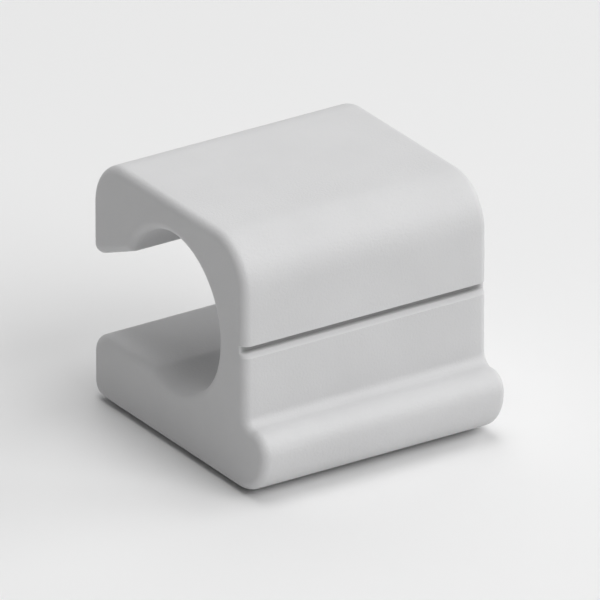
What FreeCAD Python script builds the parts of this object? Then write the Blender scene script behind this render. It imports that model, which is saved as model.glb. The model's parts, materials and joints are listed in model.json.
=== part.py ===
# Self-adhesive cable clip for a desk top.
#
# One plastic moulding with the same section all along the cable: a base plate with a rounded
# foot in front, a front wall, a round channel for the cable, a flat top, and a short back wall
# that ends in a hooked nose. The cable is pushed in from behind, past the nose. A foam pad
# in a shallow recess under the base sticks the clip down.
#
# X runs along the cable, -Y is the front and +Z is up. The origin is on the desk, under the
# middle of the clip. Sizes are in millimetres.

import FreeCAD, Part
import math
import os
import Sketcher

OUT = "parts"

# Driving sizes: name, value, what it is
SIZES = [
    ("clip_length", 16.5, "along the cable, over the rounded ends"),
    ("bore_radius", 4.75, "cable channel"),
    ("front_wall", 2.75, "from the front face to the channel"),
    ("back_wall", 3.55, "from the channel to the back face"),
    ("roof", 2.05, "from the channel up to the flat top"),
    ("floor", 3.55, "from the underside up to the channel"),
    ("crown_round", 3.0, "both top corners of the section"),
    ("foot_reach", 2.05, "rounded foot, in front of the wall"),
    ("foot_lower", 2.8, "quarter round of the foot below its foremost line"),
    ("foot_upper", 1.25, "quarter round of the foot above that line"),
    ("foot_blend", 0.6, "hollow round between the front wall and the foot"),
    ("nose_rise", 0.35, "from the channel's axis up to the tip of the hooked nose"),
    ("nose_angle", 23.0, "rise of the nose's underside towards the channel, degrees"),
    ("nose_round", 0.6, "both corners of the nose"),
    ("ledge_rise", 0.45, "from the bottom of the channel up to the ledge of the way in"),
    ("ledge_round", 1.2, "both corners of that ledge"),
    ("heel_round", 1.0, "bottom corner at the back"),
    ("end_round", 0.55, "all edges of the two end faces"),
    ("notch_rise", 0.4, "from the channel's axis up to the flex notch in the front wall"),
    ("notch_width", 0.5, "opening of the flex notch"),
    ("notch_depth", 0.5, "depth of the flex notch"),
    ("notch_lip", 0.25, "bevel on the lower lip of the flex notch"),
    ("pad_thickness", 1.0, "adhesive foam pad"),
    ("pad_stand", 0.15, "gap between the desk and the base, where the pad stands proud"),
    ("pad_margin", 1.2, "from the pad to the edge of the flat underside"),
    ("pad_clearance", 0.2, "between the pad's sides and its recess"),
    ("pad_corner", 1.5, "rounded corners of the pad"),
]

doc = FreeCAD.newDocument("cable_clip")
sheet = doc.addObject("Spreadsheet::Sheet", "Sizes")
for row, (name, value, note) in enumerate(SIZES, start=1):
    sheet.set("A%d" % row, name)
    sheet.set("B%d" % row, str(value))
    sheet.set("C%d" % row, note)
    sheet.setAlias("B%d" % row, name)
doc.recompute()


def value_of(text):
    """Number that an expression gives."""
    result = sheet.evalExpression(text)
    return float(getattr(result, "Value", result))


# Places that several features share, as expressions. Across is along Y and up is along Z. The
# clip's middle in depth is half-way between the rounded front of the foot and the back face.
CLIP_LENGTH = "Sizes.clip_length"
UNDERSIDE = "Sizes.pad_stand"
BODY_DEPTH = "(Sizes.front_wall + 2 * Sizes.bore_radius + Sizes.back_wall)"
BACK = "(%s + Sizes.foot_reach) / 2" % BODY_DEPTH
FRONT = "-(%s + Sizes.foot_reach) / 2" % BODY_DEPTH
WALL = "(Sizes.foot_reach - %s) / 2" % BODY_DEPTH
BORE_ACROSS = WALL + " + Sizes.front_wall + Sizes.bore_radius"
BORE_UP = UNDERSIDE + " + Sizes.floor + Sizes.bore_radius"
TOP = BORE_UP + " + Sizes.bore_radius + Sizes.roof"

# Foot: a quarter round above its foremost line and a larger one below
FOOT_UP = UNDERSIDE + " + Sizes.foot_lower"
UPPER_ACROSS = FRONT + " + Sizes.foot_upper"
LOWER_ACROSS = FRONT + " + Sizes.foot_lower"

# Hollow round that touches the front wall and the upper quarter round
BLEND_ACROSS = WALL + " - Sizes.foot_blend"
BLEND_SPAN = "(Sizes.foot_upper + Sizes.foot_blend)"
BLEND_OFFSET = "((%s) - (%s))" % (BLEND_ACROSS, UPPER_ACROSS)
BLEND_RISE = "sqrt(%s ^ 2 - %s ^ 2)" % (BLEND_SPAN, BLEND_OFFSET)
BLEND_UP = "%s + %s" % (FOOT_UP, BLEND_RISE)
TOUCH_SHARE = "Sizes.foot_upper / %s" % BLEND_SPAN
TOUCH_ACROSS = "%s + %s * %s" % (UPPER_ACROSS, TOUCH_SHARE, BLEND_OFFSET)
TOUCH_UP = "%s + %s * %s" % (FOOT_UP, TOUCH_SHARE, BLEND_RISE)

# Way in for the cable, between the nose and the ledge
LEDGE_UP = UNDERSIDE + " + Sizes.floor + Sizes.ledge_rise"
NOSE_UP = BORE_UP + " + Sizes.nose_rise"
THROAT_ACROSS = BORE_ACROSS + " + Sizes.bore_radius / 2"
THROAT_UP = "%s + ((%s) - (%s)) * tan(Sizes.nose_angle)" % (NOSE_UP, BACK, THROAT_ACROSS)
OUTSIDE_ACROSS = BACK + " + Sizes.bore_radius"
OUTSIDE_UP = "%s - Sizes.bore_radius * tan(Sizes.nose_angle)" % NOSE_UP

# Flex notch in the front wall
NOTCH_UPPER = BORE_UP + " + Sizes.notch_rise + Sizes.notch_width / 2"
NOTCH_LOWER = BORE_UP + " + Sizes.notch_rise - Sizes.notch_width / 2"

# Adhesive pad, inside the flat part of the underside
PAD_FRONT = LOWER_ACROSS + " + Sizes.pad_margin"
PAD_BACK = BACK + " - Sizes.heel_round - Sizes.pad_margin"
PAD_END = "Sizes.clip_length / 2 - Sizes.end_round - Sizes.pad_margin"


def make_body(label):
    """A PartDesign body whose label is the node's name."""
    body = doc.addObject("PartDesign::Body", label)
    body.Label = label
    return body


def make_sketch(body, role, label):
    """An empty sketch on one of the body's own origin planes."""
    sketch = body.newObject("Sketcher::SketchObject", label)
    plane = next(item for item in body.Origin.OriginFeatures if item.Role == role)
    sketch.AttachmentSupport = [(plane, "")]
    sketch.MapMode = "FlatFace"
    return sketch


def tie(sketch, kind, geometry, point, label, text):
    """Set one coordinate of a point, from the sketch's origin, by an expression."""
    index = sketch.addConstraint(Sketcher.Constraint(kind, -1, 1, geometry, point, value_of(text)))
    sketch.renameConstraint(index, label)
    sketch.setExpression("Constraints." + label, text)


def add_circle(sketch, across, up, radius):
    """A circle whose centre and radius are expressions."""
    centre = FreeCAD.Vector(value_of(across), value_of(up), 0)
    circle = Part.Circle(centre, FreeCAD.Vector(0, 0, 1), value_of(radius))
    geometry = sketch.addGeometry(circle, False)
    tie(sketch, "DistanceX", geometry, 3, "centre_across", across)
    tie(sketch, "DistanceY", geometry, 3, "centre_up", up)
    index = sketch.addConstraint(Sketcher.Constraint("Radius", geometry, value_of(radius)))
    sketch.renameConstraint(index, "radius")
    sketch.setExpression("Constraints.radius", radius)


def arc_between(start, end, centre, turn):
    """Arc about a centre from start to end; a sketch arc itself always runs anticlockwise."""
    if turn < 0:
        start, end = end, start
    first = math.atan2(start.y - centre.y, start.x - centre.x)
    last = math.atan2(end.y - centre.y, end.x - centre.x)
    circle = Part.Circle(centre, FreeCAD.Vector(0, 0, 1), (start - centre).Length)
    return Part.ArcOfCircle(circle, first, last if last > first else last + 2 * math.pi)


def add_outline(sketch, corners):
    """A closed outline. Each corner is (across, up), with (centre across, centre up, turn)
    added where an arc, and not a straight line, leads to the next corner."""
    places = [FreeCAD.Vector(value_of(corner[0]), value_of(corner[1]), 0) for corner in corners]
    ends = []
    for i, corner in enumerate(corners):
        following = places[(i + 1) % len(corners)]
        if len(corner) == 2:
            sketch.addGeometry(Part.LineSegment(places[i], following), False)
            ends.append((1, 2))
            continue
        centre = FreeCAD.Vector(value_of(corner[2]), value_of(corner[3]), 0)
        sketch.addGeometry(arc_between(places[i], following, centre, corner[4]), False)
        ends.append((1, 2) if corner[4] > 0 else (2, 1))
    for i, corner in enumerate(corners):
        after = (i + 1) % len(corners)
        sketch.addConstraint(Sketcher.Constraint("Coincident", i, ends[i][1], after, ends[after][0]))
        tie(sketch, "DistanceX", i, ends[i][0], "across%d" % i, corner[0])
        tie(sketch, "DistanceY", i, ends[i][0], "up%d" % i, corner[1])
        if len(corner) > 2:
            tie(sketch, "DistanceX", i, 3, "centre%d" % i, corner[2])


def extrude(body, kind, sketch, label, length, both_sides=True, upward=False):
    """Pad or pocket a sketch over a length given by an expression."""
    before = body.Shape.Volume if body.Tip else 0.0
    feature = body.newObject("PartDesign::" + kind, label)
    feature.Profile = sketch
    feature.SideType = "Symmetric" if both_sides else "One side"
    feature.Reversed = upward
    feature.setExpression("Length", length)
    doc.recompute()
    change = body.Shape.Volume - before
    if (change < 1e-6) if kind == "Pad" else (change > -1e-6):
        raise RuntimeError("%s changed nothing" % label)
    return feature


def round_edges(body, label, wanted, radius):
    """Fillet the edges of the body so far that a test picks, by a radius expression."""
    base = body.Tip
    edges = enumerate(base.Shape.Edges, start=1)
    names = ["Edge%d" % number for number, edge in edges if wanted(edge)]
    if not names:
        raise RuntimeError("%s found no edge" % label)
    fillet = body.newObject("PartDesign::Fillet", label)
    fillet.Base = (base, names)
    fillet.Radius = value_of(radius)
    fillet.setExpression("Radius", radius)
    doc.recompute()
    return fillet


def at_corner(across, up):
    """Test for the long edge that passes through one point of the section."""
    def wanted(edge):
        box = edge.BoundBox
        long_edge = box.XLength > value_of(CLIP_LENGTH) / 2
        return long_edge and math.hypot(box.Center.y - across, box.Center.z - up) < 0.02
    return wanted


def on_an_end(edge):
    """True for an edge that lies in one of the two end faces."""
    box = edge.BoundBox
    return abs(abs(box.XMin + box.XMax) - value_of(CLIP_LENGTH)) < 1e-4 and box.XLength < 1e-4


def pad_corner(edge):
    """True for an upright edge no higher than the pad."""
    box = edge.BoundBox
    upright = box.ZLength > 1e-3 and box.XLength < 1e-4 and box.YLength < 1e-4
    return upright and box.ZMax < value_of("Sizes.pad_thickness") + 1e-4


def add_section(body):
    """Outer form: base, back face, flat top and front wall, then the hollow round that leads
    down into the foot, and the foot's two quarter rounds."""
    sketch = make_sketch(body, "YZ_Plane", "OuterSection")
    add_outline(sketch, [
        (LOWER_ACROSS, UNDERSIDE),
        (BACK, UNDERSIDE),
        (BACK, TOP),
        (WALL, TOP),
        (WALL, BLEND_UP, BLEND_ACROSS, BLEND_UP, -1),
        (TOUCH_ACROSS, TOUCH_UP, UPPER_ACROSS, FOOT_UP, 1),
        (FRONT, FOOT_UP, LOWER_ACROSS, FOOT_UP, 1),
    ])
    extrude(body, "Pad", sketch, "OuterForm", CLIP_LENGTH)


def cut_channel(body):
    """Round channel for the cable."""
    sketch = make_sketch(body, "YZ_Plane", "ChannelSection")
    add_circle(sketch, BORE_ACROSS, BORE_UP, "Sizes.bore_radius")
    extrude(body, "Pocket", sketch, "Channel", CLIP_LENGTH)


def cut_way_in(body):
    """Way in through the back wall, from the ledge up to the slanting underside of the nose."""
    sketch = make_sketch(body, "YZ_Plane", "WayInSection")
    add_outline(sketch, [
        (BORE_ACROSS, LEDGE_UP),
        (OUTSIDE_ACROSS, LEDGE_UP),
        (OUTSIDE_ACROSS, OUTSIDE_UP),
        (THROAT_ACROSS, THROAT_UP),
    ])
    extrude(body, "Pocket", sketch, "WayIn", CLIP_LENGTH)


def nose_inner_corner():
    """Point of the section where the nose's underside meets the channel."""
    slope = math.tan(math.radians(value_of("Sizes.nose_angle")))
    reach = value_of(BACK) - value_of(BORE_ACROSS)
    rise = value_of(NOSE_UP) - value_of(BORE_UP) + slope * reach
    # The line up = rise - slope * across, from the channel's axis, meets its circle
    a = 1 + slope ** 2
    b = -2 * rise * slope
    c = rise ** 2 - value_of("Sizes.bore_radius") ** 2
    across = (-b + math.sqrt(b ** 2 - 4 * a * c)) / (2 * a)
    return value_of(BORE_ACROSS) + across, value_of(BORE_UP) + rise - slope * across


def ledge_inner_corner():
    """Point of the section where the ledge meets the channel."""
    drop = value_of(BORE_UP) - value_of(LEDGE_UP)
    across = math.sqrt(value_of("Sizes.bore_radius") ** 2 - drop ** 2)
    return value_of(BORE_ACROSS) + across, value_of(LEDGE_UP)


def round_section(body):
    """Round the long corners of the section."""
    back = value_of(BACK)
    wall = value_of(WALL)
    top = value_of(TOP)
    round_edges(body, "CrownFront", at_corner(wall, top), "Sizes.crown_round")
    round_edges(body, "CrownBack", at_corner(back, top), "Sizes.crown_round")
    round_edges(body, "Heel", at_corner(back, value_of(UNDERSIDE)), "Sizes.heel_round")
    round_edges(body, "NoseTip", at_corner(back, value_of(NOSE_UP)), "Sizes.nose_round")
    round_edges(body, "NoseInside", at_corner(*nose_inner_corner()), "Sizes.nose_round")
    round_edges(body, "LedgeOutside", at_corner(back, value_of(LEDGE_UP)), "Sizes.ledge_round")
    round_edges(body, "LedgeInside", at_corner(*ledge_inner_corner()), "Sizes.ledge_round")


def cut_notch(body):
    """Flex notch along the front wall. It is shallower than the rounding of the end faces, so
    it fades out before it reaches them."""
    inner = WALL + " + Sizes.notch_depth"
    lip = WALL + " + Sizes.notch_lip"
    outer = WALL + " - Sizes.notch_lip"
    below = NOTCH_LOWER + " - 2 * Sizes.notch_lip"
    sketch = make_sketch(body, "YZ_Plane", "NotchSection")
    add_outline(sketch, [
        (outer, below),
        (lip, NOTCH_LOWER),
        (inner, NOTCH_LOWER),
        (inner, NOTCH_UPPER),
        (outer, NOTCH_UPPER),
    ])
    extrude(body, "Pocket", sketch, "FlexNotch", CLIP_LENGTH)


def pad_outline(sketch, grow):
    """Rectangle of the pad, grown on all sides by an expression."""
    end = "%s + %s" % (PAD_END, grow)
    front = "%s - %s" % (PAD_FRONT, grow)
    back = "%s + %s" % (PAD_BACK, grow)
    start = "-(%s)" % end
    add_outline(sketch, [(start, front), (end, front), (end, back), (start, back)])


def cut_pad_recess(body):
    """Recess under the base, as deep as the pad is thick less what stands proud."""
    sketch = make_sketch(body, "XY_Plane", "PadRecessOutline")
    pad_outline(sketch, "Sizes.pad_clearance")
    extrude(body, "Pocket", sketch, "PadRecess", "Sizes.pad_thickness", both_sides=False, upward=True)
    round_edges(body, "PadRecessCorners", pad_corner, "Sizes.pad_corner + Sizes.pad_clearance")


def make_clip_body():
    """The moulding."""
    body = make_body("clip_body")
    add_section(body)
    cut_channel(body)
    cut_way_in(body)
    round_section(body)
    round_edges(body, "EndRounds", on_an_end, "Sizes.end_round")
    cut_notch(body)
    cut_pad_recess(body)
    return body


def make_adhesive_pad():
    """Die-cut foam pad, seated on the floor of its recess and standing a little proud."""
    body = make_body("adhesive_pad")
    sketch = make_sketch(body, "XY_Plane", "PadOutline")
    pad_outline(sketch, "0")
    extrude(body, "Pad", sketch, "PadSheet", "Sizes.pad_thickness", both_sides=False)
    round_edges(body, "PadCorners", pad_corner, "Sizes.pad_corner")
    return body


def check_document():
    """Stop if any object of the document failed to build."""
    for item in doc.Objects:
        if "Invalid" in item.State or "Error" in item.State:
            raise RuntimeError("%s failed: %s" % (item.Name, item.State))


def export(bodies):
    """Check each piece and write its STEP file under its label."""
    os.makedirs(OUT, exist_ok=True)
    for body in bodies:
        shape = body.Shape
        if shape.isNull() or not shape.isValid() or len(shape.Solids) != 1:
            raise RuntimeError("%s isn't one valid solid" % body.Label)
        shape.exportStep(os.path.join(OUT, body.Label + ".step"))
        box = shape.optimalBoundingBox(False, False)
        print("%s: %.1f mm3, %.2f x %.2f x %.2f mm, bottom at %.2f"
              % (body.Label, shape.Volume, box.XLength, box.YLength, box.ZLength, box.ZMin))


pieces = [make_clip_body(), make_adhesive_pad()]
doc.recompute()
check_document()
export(pieces)
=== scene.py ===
# %% [markdown]
# # A self-adhesive cable clip
# The real clip is a light-grey plastic moulding about 17 mm long, with the same section all along its
# length: a rounded foot in front, a straight front wall with a narrow flex notch, a flat top with soft
# corners, and a hooked nose at the back over the way in. A thin foam pad sticks it down.
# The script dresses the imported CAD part: it loads that frame, works the two pieces out as surfaces,
# gives them their finishes, and sets up a floor, soft lights and a camera.

# %% Load the frame
import bpy
import json
import numpy as np
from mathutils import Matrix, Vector


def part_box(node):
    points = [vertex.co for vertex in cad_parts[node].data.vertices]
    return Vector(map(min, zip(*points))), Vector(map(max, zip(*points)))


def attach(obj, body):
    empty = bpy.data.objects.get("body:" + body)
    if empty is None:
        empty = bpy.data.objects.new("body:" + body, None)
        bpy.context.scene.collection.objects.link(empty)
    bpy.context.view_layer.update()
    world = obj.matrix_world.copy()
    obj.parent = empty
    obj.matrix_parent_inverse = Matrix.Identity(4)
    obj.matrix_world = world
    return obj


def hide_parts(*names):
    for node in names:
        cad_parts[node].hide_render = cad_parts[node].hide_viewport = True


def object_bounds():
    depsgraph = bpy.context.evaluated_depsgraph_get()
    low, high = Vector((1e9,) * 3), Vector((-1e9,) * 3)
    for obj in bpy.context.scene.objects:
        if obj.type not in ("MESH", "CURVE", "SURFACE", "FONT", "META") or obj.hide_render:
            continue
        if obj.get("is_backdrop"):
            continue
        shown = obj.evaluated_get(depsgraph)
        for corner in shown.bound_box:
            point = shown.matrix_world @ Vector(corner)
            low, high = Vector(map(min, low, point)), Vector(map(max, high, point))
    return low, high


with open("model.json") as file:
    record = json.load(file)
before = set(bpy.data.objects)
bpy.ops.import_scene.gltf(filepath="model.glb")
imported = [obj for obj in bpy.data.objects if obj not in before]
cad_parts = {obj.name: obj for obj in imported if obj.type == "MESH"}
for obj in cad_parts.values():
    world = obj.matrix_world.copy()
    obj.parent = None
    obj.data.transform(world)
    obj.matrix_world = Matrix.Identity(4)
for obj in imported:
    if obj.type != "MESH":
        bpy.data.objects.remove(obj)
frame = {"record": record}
cad_low, cad_high = (list(corner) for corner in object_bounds())
print("CAD box in mm:", np.round(np.subtract(cad_high, cad_low) * 1000, 3))

# %% [markdown]
# ## Sizes
# Blender works in metres, in the same frame as the CAD part: X runs along the channel, -Y is the
# front and +Z is up. The outer sizes and the channel are read from the frame, so that they can't
# drift from the part. Only the rounds and the small features, which no box can tell, are named again.

# %% Sizes of the moulding
MM = 0.001

body_low, body_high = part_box("clip_body")
pad_low, pad_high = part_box("adhesive_pad")
channel = next(m for m in frame["record"]["mounts"] if m["name"] == "cable_channel")

HALF_LENGTH = body_high.x
FRONT = body_low.y
BACK = body_high.y
UNDERSIDE = body_low.z
TOP = body_high.z
BORE_RADIUS = channel["dims"]["r_mm"] * MM
BORE_ACROSS = channel["pos_m"][1]
BORE_UP = channel["pos_m"][2]

FOOT_REACH = 2.05 * MM
FOOT_LOWER = 2.8 * MM
FOOT_UPPER = 1.25 * MM
FOOT_BLEND = 0.6 * MM
CROWN_ROUND = 3.0 * MM
NOSE_RISE = 0.35 * MM
NOSE_ANGLE = 23.0
NOSE_ROUND = 0.6 * MM
LEDGE_RISE = 0.45 * MM
LEDGE_ROUND = 1.2 * MM
HEEL_ROUND = 1.0 * MM
END_ROUND = 0.55 * MM
WALL = FRONT + FOOT_REACH
LEDGE_UP = BORE_UP - BORE_RADIUS + LEDGE_RISE

print("length %.2f, depth %.2f, height %.2f mm" % (
    2 * HALF_LENGTH / MM, (BACK - FRONT) / MM, (TOP - UNDERSIDE) / MM))

# %% [markdown]
# ## The section as a chain of turns
# A draughtsman draws this section as straight lines that run into arcs. Walking round it with the
# plastic on the left, the outward normal only ever turns: one way round a corner, and back the other
# way in a hollow. So each turn is a centre, a radius and the angles of the normal at its two ends.
# A hollow gets a negative radius, and then one formula serves both: point = centre + radius x normal.
# The straight lines need no entry, because a turn ends with the normal that the next one starts with.
# A Bezier curve could trace the same shape, but its arcs are only nearly round, and the end rounds
# need the exact normals that the turns give.

# %% Helpers for arcs and straight runs
ARC_STEP = 0.3 * MM
ARC_TURN = 6.0
RUN_STEP = 0.5 * MM
TOUCHING = 1e-9


def unit(degrees):
    """Unit vectors (cos a, sin a) for angles in degrees, as an array with one row each."""
    angles = np.radians(np.atleast_1d(degrees))
    return np.stack([np.cos(angles), np.sin(angles)], axis=1)


def turn(centre, radius, start, end):
    """Points centre + radius * normal, with the normals, as the normal turns from start to end."""
    length = abs(radius) * np.radians(abs(end - start))
    pieces = int(np.ceil(max(length / ARC_STEP, abs(end - start) / ARC_TURN)))
    normals = unit(np.linspace(start, end, pieces + 1))
    return np.asarray(centre) + radius * normals, normals


def outline(turns):
    """The closed outline: every turn, and evenly spaced points on the straight run to the next.
    A turn has (centre across, centre up, radius, start, end) and may add the run's own spacing."""
    arcs = [turn(t[:2], t[2], t[3], t[4]) for t in turns]
    places, normals = [], []
    for i, (points, facing) in enumerate(arcs):
        following = arcs[(i + 1) % len(arcs)][0][0]
        gap = np.linalg.norm(following - points[-1])
        spacing = turns[i][5] if len(turns[i]) > 5 else RUN_STEP
        pieces = max(1, int(np.ceil(gap / spacing)))
        share = np.arange(1, pieces)[:, None] / pieces
        run = points[-1] + share * (following - points[-1])
        touching = gap < TOUCHING
        places += [points[:-1] if touching else points, run]
        normals += [facing[:-1] if touching else facing, np.repeat(facing[-1:], len(run), axis=0)]
    return np.concatenate(places), np.concatenate(normals)


# %% [markdown]
# ## Rounds that touch an arc
# Where the ledge and the nose run into the round channel, the corner round touches a straight line
# and a circle. Its centre lies on the line moved into the plastic by the round's radius, and on a
# circle about the channel that is larger by the same amount. That is one quadratic equation.

# %% Centres of the two inner rounds
def centre_beside(point, angle, radius):
    """Centre of a round that touches the channel and the line through point whose outward normal
    has this angle: on the line moved inwards by radius, at channel radius + radius from the axis."""
    normal = unit(angle)[0]
    along = np.array([-normal[1], normal[0]])
    axis = np.array([BORE_ACROSS, BORE_UP])
    moved = np.asarray(point) - radius * normal - axis
    reach = moved @ along
    rest = moved @ moved - (BORE_RADIUS + radius) ** 2
    steps = -reach + np.array([-1, 1]) * np.sqrt(reach ** 2 - rest)
    centres = axis + moved + steps[:, None] * along
    return centres[np.argmax(centres[:, 0])]


def facing_axis(centre):
    """Angle in degrees of the direction from a round's centre to the channel's axis."""
    return np.degrees(np.arctan2(BORE_UP - centre[1], BORE_ACROSS - centre[0]))


UNDER_NOSE = -90 - NOSE_ANGLE
nose_tip = (BACK, BORE_UP + NOSE_RISE)
nose_inner = centre_beside(nose_tip, UNDER_NOSE, NOSE_ROUND)
ledge_inner = centre_beside((BACK, LEDGE_UP), 90, LEDGE_ROUND)
slope = np.tan(np.radians(NOSE_ANGLE))
nose_outer = (BACK - NOSE_ROUND, nose_tip[1] + NOSE_ROUND * (slope + 1 / np.cos(np.radians(NOSE_ANGLE))))

# %% [markdown]
# ## Flex notch
# The front wall has a narrow notch where the hook flexes when it is sprung open. A Boolean could cut
# it, but would break up the even grid of faces. So it is drawn as a depth over the height of the
# wall: a steep upper side, a narrow floor, a steep lower side and a small bevel that catches the
# light. Closely spaced points carry it, and the rest of the wall stays coarse.

# %% Notch profile
NOTCH_RISE = 0.4 * MM
NOTCH_WIDTH = 0.5 * MM
NOTCH_DEPTH = 0.5 * MM
NOTCH_LIP = 0.25 * MM
NOTCH_DRAFT = 0.04 * MM
NOTCH_STEP = 0.02 * MM
NOTCH_ZONE = 0.08 * MM

notch_top = BORE_UP + NOTCH_RISE + NOTCH_WIDTH / 2
notch_foot = notch_top - NOTCH_WIDTH


def notch_depth(up):
    """Depth of the notch at heights up: straight lines through its corners, with steep sides."""
    heights = [notch_foot - NOTCH_LIP, notch_foot, notch_foot + NOTCH_DRAFT,
               notch_top - NOTCH_DRAFT, notch_top]
    depths = [0, NOTCH_LIP, NOTCH_DEPTH, NOTCH_DEPTH, 0]
    return np.interp(up, heights, depths, left=0, right=0)


# %% [markdown]
# ## The whole section
# The turns are listed in the order in which they are met: up from the heel to the ledge, round the
# channel to the nose, over the flat top, down the front wall past the notch, and round the foot to
# the flat underside. Two turns of radius 0 on the wall mark the zone in which the points lie close
# together for the notch. Two more on the underside leave a frame round the place of the pad.

# %% List of turns
zone_top = notch_top + NOTCH_ZONE
zone_foot = notch_foot - NOTCH_LIP - NOTCH_ZONE
blend_across = WALL - FOOT_BLEND
blend_offset = blend_across - (FRONT + FOOT_UPPER)
blend_rise = np.sqrt((FOOT_UPPER + FOOT_BLEND) ** 2 - blend_offset ** 2)
foot_up = UNDERSIDE + FOOT_LOWER
foot_touch = np.degrees(np.arctan2(blend_rise, blend_offset))
PAD_FRAME = 0.4 * MM
flat_front = FRONT + FOOT_LOWER
flat_back = BACK - HEEL_ROUND

TURNS = [
    (BACK - HEEL_ROUND, UNDERSIDE + HEEL_ROUND, HEEL_ROUND, -90, 0),
    (BACK - LEDGE_ROUND, LEDGE_UP - LEDGE_ROUND, LEDGE_ROUND, 0, 90),
    (*ledge_inner, LEDGE_ROUND, 90, facing_axis(ledge_inner)),
    (BORE_ACROSS, BORE_UP, -BORE_RADIUS, facing_axis(ledge_inner), facing_axis(nose_inner)),
    (*nose_inner, NOSE_ROUND, facing_axis(nose_inner), UNDER_NOSE),
    (*nose_outer, NOSE_ROUND, UNDER_NOSE, 0),
    (BACK - CROWN_ROUND, TOP - CROWN_ROUND, CROWN_ROUND, 0, 90),
    (WALL + CROWN_ROUND, TOP - CROWN_ROUND, CROWN_ROUND, 90, 180),
    (WALL, zone_top, 0, 180, 180, NOTCH_STEP),
    (WALL, zone_foot, 0, 180, 180),
    (blend_across, foot_up + blend_rise, -FOOT_BLEND, 180, foot_touch),
    (FRONT + FOOT_UPPER, foot_up, FOOT_UPPER, foot_touch, 180),
    (FRONT + FOOT_LOWER, foot_up, FOOT_LOWER, 180, 270),
    (flat_front + PAD_FRAME, UNDERSIDE, 0, 270, 270),
    (flat_back - PAD_FRAME, UNDERSIDE, 0, 270, 270),
]
section, section_normals = outline(TURNS)
print("section:", len(section), "points")

# %% [markdown]
# ## From outline to surface
# Both pieces are an outline carried along a straight line. Towards each end the outline is drawn in
# along its own normals, which rounds the edge: at an angle a round the edge, the ring is drawn in by
# r (1 - cos a) and stands r (1 - sin a) short of the end. A Bevel modifier could round it too, but
# the shortest edge that it meets limits it, and the points in the notch are only 0.02 mm apart. Every
# ring has the same number of points, so the surface is a plain grid. Each flat end is one face inside
# a narrow border, which keeps the smooth shading of the round from spilling over the flat.

# %% Ring positions
BORDER = 0.02 * MM
ROUND_PIECES = 9


def end_profile(half, radius):
    """(drawn in, along) of the rings from the middle of a piece to one of its ends: straight up to
    the round, then inset = r (1 - cos a) and along = half - r (1 - sin a), then a flat border."""
    angles = np.radians(np.linspace(0, 90, ROUND_PIECES + 1))
    inset = radius * (1 - np.cos(angles))
    along = half - radius * (1 - np.sin(angles))
    return np.append(inset, radius + BORDER), np.append(along, half)


def both_ends(half, radius, step):
    """The same rings mirrored to both ends, with evenly spaced rings between the two rounds."""
    inset, along = end_profile(half, radius)
    straight = half - radius
    middle = np.linspace(-straight, straight, int(np.ceil(2 * straight / step)) + 1)[1:-1]
    insets = np.concatenate([inset[::-1], np.zeros(len(middle)), inset])
    return insets, np.concatenate([-along[::-1], middle, along])


def grid_faces(rings, points):
    """Four-sided faces between neighbouring rings of a closed grid, numbered ring by ring."""
    ring, point = np.meshgrid(np.arange(rings - 1), np.arange(points), indexing="ij")
    following = (point + 1) % points
    corners = [ring * points + point, ring * points + following,
               (ring + 1) * points + following, (ring + 1) * points + point]
    return np.stack(corners, axis=-1)


def volume_of(places, faces):
    """Enclosed volume: the sum of the tetrahedra from the origin to a fan over every face."""
    total = 0.0
    for face in faces:
        fan = places[np.asarray(face)]
        across = np.cross(fan[1:-1], fan[2:])
        total += (across @ fan[0]).sum()
    return total / 6


def make_piece(name, places, faces):
    """A smooth mesh object at the origin, in the scene, with its volume printed."""
    mesh = bpy.data.meshes.new(name)
    mesh.from_pydata(places.tolist(), [], [list(map(int, face)) for face in faces])
    mesh.validate()
    mesh.shade_smooth()
    piece = bpy.data.objects.new(name, mesh)
    bpy.context.scene.collection.objects.link(piece)
    print("%s: %d faces, %.1f mm3" % (name, len(faces), volume_of(places, faces) / MM ** 3))
    return piece


# %% [markdown]
# ## The moulding
# A curve with an extrusion and a bevel could make the plain shape, but not a notch that fades out
# towards both ends. So rings of the section run along X, and in the notch each point is also pushed
# in, by the notch's depth times the share of it that the end round hasn't taken away yet.

# %% Rings of the moulding
RING_STEP = 0.5 * MM

insets, stations = both_ends(HALF_LENGTH, END_ROUND, RING_STEP)
on_wall = np.isclose(section_normals[:, 0], -1) & np.isclose(section[:, 0], WALL)
notch = np.where(on_wall, notch_depth(section[:, 1]), 0)
share_left = np.clip(NOTCH_DEPTH - insets, 0, None) / NOTCH_DEPTH
pushed = insets[:, None] + notch[None, :] * share_left[:, None]
drawn = section[None, :, :] - pushed[:, :, None] * section_normals[None, :, :]
body_places = np.concatenate([
    np.repeat(stations[:, None, None], len(section), axis=1), drawn], axis=2)
print("moulding: %d rings of %d points" % body_places.shape[:2])

# %% [markdown]
# ## The pad's recess
# The pad sits in a shallow recess with rounded corners. A Boolean could cut it, but would leave long
# thin faces on the flat underside, which shade badly. So the grid gets a rectangular hole there, and
# loops of points lead from the edge of that hole in to the mouth of the recess and up its wall. Each
# point of the hole goes to the nearest point of the rounded rectangle: clamp it to the rectangle of
# the corner centres, and go out from there by the corner radius. The finished moulding is then tied
# to the part's one body, and it takes the place of the plain CAD piece.

# %% Recess under the moulding
PAD_CLEARANCE = 0.2 * MM
PAD_CORNER = 1.5 * MM
MOUTH_ROUND = 0.08 * MM
MOUTH_PIECES = 3

pad_half = np.array([pad_high.x - pad_low.x, pad_high.y - pad_low.y]) / 2
pad_middle = np.array([pad_high.x + pad_low.x, pad_high.y + pad_low.y]) / 2


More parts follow.
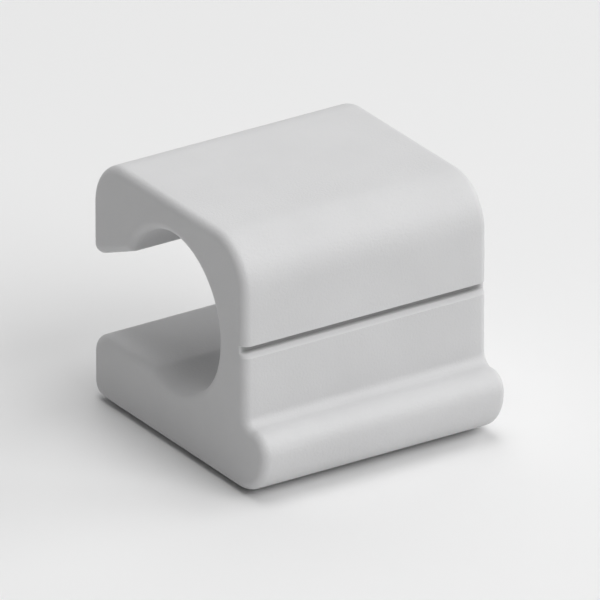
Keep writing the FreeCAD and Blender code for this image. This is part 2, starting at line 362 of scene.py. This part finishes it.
def rounded_rectangle(points, grow):
    """Nearest points of the pad's outline, grown on all sides: clamp to the rectangle of the corner
    centres, then add corner radius * unit vector towards the point."""
    inner = pad_half - PAD_CORNER
    offset = points - pad_middle
    held = np.clip(offset, -inner, inner)
    away = offset - held
    away /= np.linalg.norm(away, axis=1, keepdims=True)
    return pad_middle + held + (PAD_CORNER + grow) * away


def hole_in_grid():
    """First and last ring, and first and last point, of the rectangle left out for the recess."""
    first = int(np.argmin(np.hypot(*(section - (flat_front + PAD_FRAME, UNDERSIDE)).T)))
    last = int(np.argmin(np.hypot(*(section - (flat_back - PAD_FRAME, UNDERSIDE)).T)))
    inside = np.flatnonzero(np.abs(stations) < HALF_LENGTH - END_ROUND - PAD_FRAME)
    return inside[0], inside[-1], first, last


ring_first, ring_last, point_first, point_last = hole_in_grid()
rings, points = np.meshgrid(np.arange(len(stations) - 1), np.arange(len(section)), indexing="ij")
left_out = (rings >= ring_first) & (rings < ring_last) & (points >= point_first) & (points < point_last)
body_faces = grid_faces(len(stations), len(section))[~left_out].tolist()

numbers = np.arange(len(stations) * len(section)).reshape(len(stations), len(section))
hole = np.concatenate([
    numbers[ring_first, point_first:point_last],
    numbers[ring_first:ring_last, point_last],
    numbers[ring_last, point_last:point_first:-1],
    numbers[ring_last:ring_first:-1, point_first],
])
flat_body = body_places.reshape(-1, 3)
hole_places = flat_body[hole][:, :2]

mouth = np.radians(np.linspace(0, 90, MOUTH_PIECES + 1))
recess_grow = list(PAD_CLEARANCE + MOUTH_ROUND * (1 - np.sin(mouth)))
recess_up = list(UNDERSIDE + MOUTH_ROUND * (1 - np.cos(mouth)))
recess_grow = [recess_grow[0] + BORDER] + recess_grow + [PAD_CLEARANCE, PAD_CLEARANCE - BORDER]
recess_up = [UNDERSIDE] + recess_up + [pad_high.z, pad_high.z]
loops = [np.column_stack([rounded_rectangle(hole_places, grow), np.full(len(hole), up)])
         for grow, up in zip(recess_grow, recess_up)]

start = len(flat_body)
loop_numbers = np.vstack([hole, start + np.arange(len(loops) * len(hole)).reshape(len(loops), -1)])
turned = np.roll(loop_numbers, -1, axis=1)
walls = np.stack([loop_numbers[:-1], turned[:-1], turned[1:], loop_numbers[1:]], axis=-1)
body_faces += walls.reshape(-1, 4).tolist()
body_faces.append(loop_numbers[-1].tolist())
body_faces.append(numbers[-1].tolist())
body_faces.append(numbers[0, ::-1].tolist())

body = make_piece("clip_moulding", np.vstack([flat_body, *loops]), body_faces)
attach(body, "root")
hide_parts("clip_body")

# %% [markdown]
# ## Painted shade in the notch
# The floor of the notch is painted a darker grey: painted shade that makes a thin dark line of it. An
# Ambient Occlusion node could find such a place, but it is slow and darkens every other hollow too. The
# mesh knows how deep each of its points lies in the notch, so it hands that on to the material as a
# value from 0 to 1: 0 on the wall and on the bevel, 1 on the floor of the notch.

# %% Painted shade value on the mesh
PAINTED_SHADE_START = 0.6
PAINTED_SHADE_VALUE = "notch_painted_shade"

# Painted shade: the share of the dark grey, from each point's depth in the notch.
deep = notch[None, :] * share_left[:, None] / NOTCH_DEPTH
painted_shade = np.clip((deep - PAINTED_SHADE_START) / (1 - PAINTED_SHADE_START), 0, 1).ravel()
painted_shade_values = body.data.attributes.new(PAINTED_SHADE_VALUE, "FLOAT", "POINT")
painted_shade_values.data.foreach_set("value", np.append(painted_shade, np.zeros(len(body.data.vertices) - len(painted_shade))))
print("points with dust:", np.count_nonzero(painted_shade))

# %% [markdown]
# ## The adhesive pad
# The pad is a sheet of closed-cell foam with a film of glue on both sides, cut out by a die. The die
# squeezes the foam, so the cut edge springs back slightly hollow between the two films. A bevelled
# block would look too hard for that. So the rings are the pad's outline, drawn in a little by the
# hollow, one above the other from the lower film to the upper one.

# %% Rings of the pad
PAD_EDGE_ROUND = 0.06 * MM
PAD_WAIST = 0.05 * MM
PAD_LEVELS = 13
PAD_SIDE_STEP = 0.4 * MM

pad_inner = pad_half - PAD_CORNER
pad_turns = [
    (pad_middle[0] + x * pad_inner[0], pad_middle[1] + y * pad_inner[1],
     PAD_CORNER, corner, corner + 90, PAD_SIDE_STEP)
    for x, y, corner in [(1, -1, -90), (1, 1, 0), (-1, 1, 90), (-1, -1, 180)]
]
pad_outline, pad_normals = outline(pad_turns)


def foam_profile():
    """(drawn in, up) from the bottom face to the top face: rounded edges, and between them a waist
    that is drawn in by a parabola, waist * (1 - t * t) with t from -1 to 1 over the height."""
    angles = np.radians(np.linspace(0, 90, ROUND_PIECES // 2 + 1))
    edge_in = PAD_EDGE_ROUND * (1 - np.sin(angles))
    edge_up = PAD_EDGE_ROUND * (1 - np.cos(angles))
    share = np.linspace(-1, 1, PAD_LEVELS)[1:-1]
    thickness = pad_high.z - pad_low.z
    waist_up = thickness / 2 + share * (thickness / 2 - PAD_EDGE_ROUND)
    inset = np.concatenate([edge_in, PAD_WAIST * (1 - share ** 2), edge_in[::-1]])
    up = np.concatenate([edge_up, waist_up, thickness - edge_up[::-1]])
    inset = np.concatenate([[inset[0] + BORDER], inset, [inset[-1] + BORDER]])
    return inset, pad_low.z + np.concatenate([[0], up, [thickness]])


pad_insets, pad_levels = foam_profile()
pad_drawn = pad_outline[None, :, :] - pad_insets[:, None, None] * pad_normals[None, :, :]
pad_places = np.concatenate([
    pad_drawn, np.repeat(pad_levels[:, None, None], len(pad_outline), axis=1)], axis=2).reshape(-1, 3)
pad_numbers = np.arange(len(pad_places)).reshape(len(pad_levels), -1)
pad_faces = grid_faces(len(pad_levels), len(pad_outline)).reshape(-1, 4).tolist()
pad_faces += [pad_numbers[-1].tolist(), pad_numbers[0, ::-1].tolist()]

pad = make_piece("foam_pad", pad_places, pad_faces)
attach(pad, "root")
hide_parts("adhesive_pad")

# %% [markdown]
# ## Finishes
# Both materials need the same two things from noise: a fine grain for the bump, and slow, faint
# changes of tone that keep a plain colour from looking computed. They are made once, as a node
# group, and each material gives the group its own scales. The group reads no coordinates itself,
# so each material decides where its pattern is fixed.

# %% Helpers for node trees
GRAIN_LAYERS = 2.0
GRAIN_SHARPNESS = 0.6
TONE_LAYERS = 3.0
TONE_SHARPNESS = 0.5
TONE_DARKEST = 0.3
TONE_LIGHTEST = 0.7


def add_node(tree, kind, inputs=None, **settings):
    """A node of a tree, with plain values on its named inputs and its own settings."""
    node = tree.nodes.new(kind)
    for name, value in settings.items():
        setattr(node, name, value)
    for name, value in (inputs or {}).items():
        node.inputs[name].default_value = value
    return node


def grain_group():
    """Node group: a fine grain height and a slow tone, both from 0 to 1, out of one coordinate."""
    tree = bpy.data.node_groups.new("Fine_Grain", "ShaderNodeTree")
    tree.interface.new_socket("Coordinates", in_out="INPUT", socket_type="NodeSocketVector")
    for name in ("Grain Scale", "Tone Scale"):
        tree.interface.new_socket(name, in_out="INPUT", socket_type="NodeSocketFloat")
    for name in ("Height", "Tone"):
        tree.interface.new_socket(name, in_out="OUTPUT", socket_type="NodeSocketFloat")
    given = tree.nodes.new("NodeGroupInput")
    handed_out = tree.nodes.new("NodeGroupOutput")
    grain = add_node(
        tree, "ShaderNodeTexNoise", {"Detail": GRAIN_LAYERS, "Roughness": GRAIN_SHARPNESS})
    tone = add_node(
        tree, "ShaderNodeTexNoise", {"Detail": TONE_LAYERS, "Roughness": TONE_SHARPNESS})
    spread = add_node(
        tree, "ShaderNodeMapRange", {"From Min": TONE_DARKEST, "From Max": TONE_LIGHTEST})
    for node, scale in ((grain, "Grain Scale"), (tone, "Tone Scale")):
        tree.links.new(given.outputs["Coordinates"], node.inputs["Vector"])
        tree.links.new(given.outputs[scale], node.inputs["Scale"])
    tree.links.new(tone.outputs["Fac"], spread.inputs["Value"])
    tree.links.new(grain.outputs["Fac"], handed_out.inputs["Height"])
    tree.links.new(spread.outputs["Result"], handed_out.inputs["Tone"])
    return tree


fine_grain = grain_group()


def start_material(name, colour_low, colour_high, grain_size, tone_size):
    """A material whose base colour moves between two colours with the group's tone. Returns the
    material, its tree, the shader and the group's node. Sizes are in metres on the real piece."""
    material = bpy.data.materials.new(name)
    material.use_nodes = True
    tree = material.node_tree
    shader = tree.nodes["Principled BSDF"]
    where = add_node(tree, "ShaderNodeTexCoord")
    group = add_node(tree, "ShaderNodeGroup", node_tree=fine_grain)
    group.inputs["Grain Scale"].default_value = 1 / grain_size
    group.inputs["Tone Scale"].default_value = 1 / tone_size
    tint = add_node(tree, "ShaderNodeMix", data_type="RGBA")
    tint.inputs["A"].default_value = (*colour_low, 1)
    tint.inputs["B"].default_value = (*colour_high, 1)
    tree.links.new(where.outputs["Object"], group.inputs["Coordinates"])
    tree.links.new(group.outputs["Tone"], tint.inputs["Factor"])
    tree.links.new(tint.outputs["Result"], shader.inputs["Base Color"])
    return material, tree, shader, group


def add_bump(tree, shader, height, strength, depth):
    """Bump from a height of 0 to 1 that stands for a real depth in metres."""
    bump = add_node(tree, "ShaderNodeBump", {"Strength": strength, "Distance": depth})
    tree.links.new(height, bump.inputs["Height"])
    tree.links.new(bump.outputs["Normal"], shader.inputs["Normal"])


def vary_roughness(tree, shader, mask, low, high):
    """Roughness that moves from low to high with a mask of 0 to 1."""
    spread = add_node(tree, "ShaderNodeMapRange", {"To Min": low, "To Max": high})
    tree.links.new(mask, spread.inputs["Value"])
    tree.links.new(spread.outputs["Result"], shader.inputs["Roughness"])


# %% [markdown]
# ## Light-grey moulded plastic
# The mould is spark-eroded, which leaves a grain a tenth of a millimetre across and about two
# hundredths deep on every face. It scatters the highlight, so the rounds shine softly and no lamp is
# ever mirrored. Real displacement could give it, but a bump shades the same at this size and costs no
# faces. The colour is a neutral light grey, a little lighter and darker over a few millimetres.

# %% Plastic
PLASTIC_DARK = (0.62, 0.62, 0.625)
PLASTIC_LIGHT = (0.655, 0.655, 0.66)
PLASTIC_GRAIN = 0.14 * MM
PLASTIC_TONE = 5 * MM
GRAIN_STRENGTH = 0.7
GRAIN_DEPTH = 0.024 * MM
PLASTIC_SMOOTH = 0.46
PLASTIC_ROUGH = 0.56
PLASTIC_IOR = 1.47
# Dark grey painted into the floor of the notch as painted shade.
PAINTED_SHADE_GREY = (0.32, 0.32, 0.32)


def add_painted_shade(tree, shader):
    """Mix the base colour towards a dull dark grey by the painted shade value that the mesh carries."""
    shade_share = add_node(tree, "ShaderNodeAttribute", attribute_name=PAINTED_SHADE_VALUE)
    shade_mix = add_node(tree, "ShaderNodeMix", data_type="RGBA")
    shade_mix.inputs["B"].default_value = (*PAINTED_SHADE_GREY, 1)
    unshaded_colour = shader.inputs["Base Color"].links[0].from_socket
    tree.links.new(shade_share.outputs["Fac"], shade_mix.inputs["Factor"])
    tree.links.new(unshaded_colour, shade_mix.inputs["A"])
    tree.links.new(shade_mix.outputs["Result"], shader.inputs["Base Color"])


def moulded_plastic():
    """Matt light-grey plastic with an eroded grain, and painted shade in the notch."""
    material, tree, shader, group = start_material(
        "moulded_plastic", PLASTIC_DARK, PLASTIC_LIGHT, PLASTIC_GRAIN, PLASTIC_TONE)
    add_bump(tree, shader, group.outputs["Height"], GRAIN_STRENGTH, GRAIN_DEPTH)
    vary_roughness(tree, shader, group.outputs["Tone"], PLASTIC_SMOOTH, PLASTIC_ROUGH)
    shader.inputs["IOR"].default_value = PLASTIC_IOR
    # Painted shade: darkens the floor of the notch in the base colour.
    add_painted_shade(tree, shader)
    return material


body.data.materials.append(moulded_plastic())

# %% [markdown]
# ## Foam
# The foam is an off-white sponge of closed cells about a tenth of a millimetre across, cut open at
# the edge. Noise would only make it lumpy, so Voronoi cells give the pits: the distance from each
# cell's centre is its height.

# %% Foam
FOAM_DARK = (0.70, 0.70, 0.66)
FOAM_LIGHT = (0.78, 0.78, 0.74)
FOAM_GRAIN = 0.08 * MM
FOAM_TONE = 2 * MM
CELL_SIZE = 0.12 * MM
CELL_STRENGTH = 0.6
CELL_DEPTH = 0.03 * MM
FOAM_SMOOTH = 0.8
FOAM_ROUGH = 0.95


def adhesive_foam():
    """Dull off-white foam with small open cells."""
    material, tree, shader, group = start_material(
        "adhesive_foam", FOAM_DARK, FOAM_LIGHT, FOAM_GRAIN, FOAM_TONE)
    cells = add_node(tree, "ShaderNodeTexVoronoi", {"Scale": 1 / CELL_SIZE})
    where = next(node for node in tree.nodes if node.type == "TEX_COORD")
    tree.links.new(where.outputs["Object"], cells.inputs["Vector"])
    add_bump(tree, shader, cells.outputs["Distance"], CELL_STRENGTH, CELL_DEPTH)
    vary_roughness(tree, shader, group.outputs["Height"], FOAM_SMOOTH, FOAM_ROUGH)
    return material


pad.data.materials.append(adhesive_foam())

# %% [markdown]
# ## Floor
# The clip stands on a plain pale floor. It is far larger than the clip, so that no edge of it shows
# from any side, and it isn't part of the object.

# %% Pale floor
FLOOR_REACH = 4.0
FLOOR_DARK = (0.84, 0.84, 0.84)
FLOOR_LIGHT = (0.86, 0.86, 0.86)
FLOOR_GRAIN = 1 * MM
FLOOR_TONE = 60 * MM
FLOOR_SMOOTH = 0.6
FLOOR_ROUGH = 0.7


def pale_floor():
    """A flat square sheet under the object, with a smooth pale finish."""
    corners = np.array([(-1, -1, 0), (1, -1, 0), (1, 1, 0), (-1, 1, 0)]) * FLOOR_REACH
    mesh = bpy.data.meshes.new("floor")
    mesh.from_pydata(corners.tolist(), [], [(0, 1, 2, 3)])
    floor = bpy.data.objects.new("floor", mesh)
    bpy.context.scene.collection.objects.link(floor)
    material, tree, shader, group = start_material(
        "pale_floor", FLOOR_DARK, FLOOR_LIGHT, FLOOR_GRAIN, FLOOR_TONE)
    vary_roughness(tree, shader, group.outputs["Tone"], FLOOR_SMOOTH, FLOOR_ROUGH)
    mesh.materials.append(material)
    return floor


pale_floor()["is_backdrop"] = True

# %% [markdown]
# ## Light
# Four large soft lamps and faint pale surroundings light the clip, as in a plain studio: one
# overhead for the top and the floor, one half high in front for the front wall and the foot, a
# weaker one low on the right, and a weak one behind, which keeps the back and the floor there from
# going dull. The left end stays a step darker and shadows are soft. What the camera and the shine
# on a surface show of the surroundings is as pale as the floor.

# %% Lamps and surroundings
LAMP_DISTANCE = 0.7
LAMP_SIZE = 0.5
LAMPS = {
    "overhead": (0.0, 88.0, 1.95),
    "front": (18.0, 41.0, 2.3),
    "side": (75.0, 30.0, 1.3),
    "back": (160.0, 50.0, 0.8),
}
SURROUNDINGS = 0.085
BACKGROUND = 0.86
WHITE = (1, 1, 1, 1)

centre = (np.array(cad_low) + np.array(cad_high)) / 2


def direction_from(azimuth, elevation):
    """Unit vector towards a place seen from the clip: azimuth 0 is in front (-Y), 90 is at +X."""
    flat = np.cos(np.radians(elevation))
    across = np.radians(azimuth)
    return np.array([np.sin(across) * flat, -np.cos(across) * flat, np.sin(np.radians(elevation))])


def place(data, azimuth, elevation, distance, aim=centre):
    """Put a lamp or a camera at a distance from the point that it faces."""
    thing = bpy.data.objects.new(data.name, data)
    bpy.context.scene.collection.objects.link(thing)
    away = direction_from(azimuth, elevation)
    thing.location = aim + distance * away
    thing.rotation_euler = Vector(-away).to_track_quat("-Z", "Y").to_euler()
    return thing


for name, (azimuth, elevation, power) in LAMPS.items():
    lamp = bpy.data.lights.new(name + "_lamp", "AREA")
    lamp.shape = "DISK"
    lamp.size = LAMP_SIZE
    lamp.energy = power
    place(lamp, azimuth, elevation, LAMP_DISTANCE)

world = bpy.data.worlds.new("surroundings")
bpy.context.scene.world = world
world.use_nodes = True
sky = world.node_tree
sky.nodes.clear()
seen = add_node(sky, "ShaderNodeBackground", {"Color": WHITE, "Strength": BACKGROUND})
lighting = add_node(sky, "ShaderNodeBackground", {"Color": WHITE, "Strength": SURROUNDINGS})
rays = add_node(sky, "ShaderNodeLightPath")
mirrored_to = add_node(sky, "ShaderNodeMath", operation="MAXIMUM")
shown_to = add_node(sky, "ShaderNodeMath", operation="MAXIMUM")
choice = add_node(sky, "ShaderNodeMixShader")
handed_on = add_node(sky, "ShaderNodeOutputWorld")
sky.links.new(rays.outputs["Is Glossy Ray"], mirrored_to.inputs[0])
sky.links.new(rays.outputs["Is Transmission Ray"], mirrored_to.inputs[1])
sky.links.new(rays.outputs["Is Camera Ray"], shown_to.inputs[0])
sky.links.new(mirrored_to.outputs[0], shown_to.inputs[1])
sky.links.new(shown_to.outputs[0], choice.inputs["Fac"])
sky.links.new(lighting.outputs[0], choice.inputs[1])
sky.links.new(seen.outputs[0], choice.inputs[2])
sky.links.new(choice.outputs[0], handed_on.inputs["Surface"])

# %% [markdown]
# ## Camera
# A long lens from more than a metre away looks down on the clip from its left front corner, so the
# flat top, the front wall and the left end all show, and upright lines stay nearly parallel.

# %% Camera
VIEW_AZIMUTH = -33.16
VIEW_ELEVATION = 24.8
VIEW_DISTANCE = 1.158
FRAME_WIDTH = 0.034
SENSOR_WIDTH = 36.0
VIEW_AIM = np.array([0, -0.05, 7.4]) * MM
NEAREST = 0.01
FURTHEST = 20.0

camera_data = bpy.data.cameras.new("camera")
camera_data.sensor_width = SENSOR_WIDTH
camera_data.lens = SENSOR_WIDTH * VIEW_DISTANCE / FRAME_WIDTH
camera_data.clip_start = NEAREST
camera_data.clip_end = FURTHEST
bpy.context.scene.camera = place(
    camera_data, VIEW_AZIMUTH, VIEW_ELEVATION, VIEW_DISTANCE, VIEW_AIM)
bpy.context.scene.view_settings.view_transform = "Standard"
print("lens: %.0f mm" % camera_data.lens)
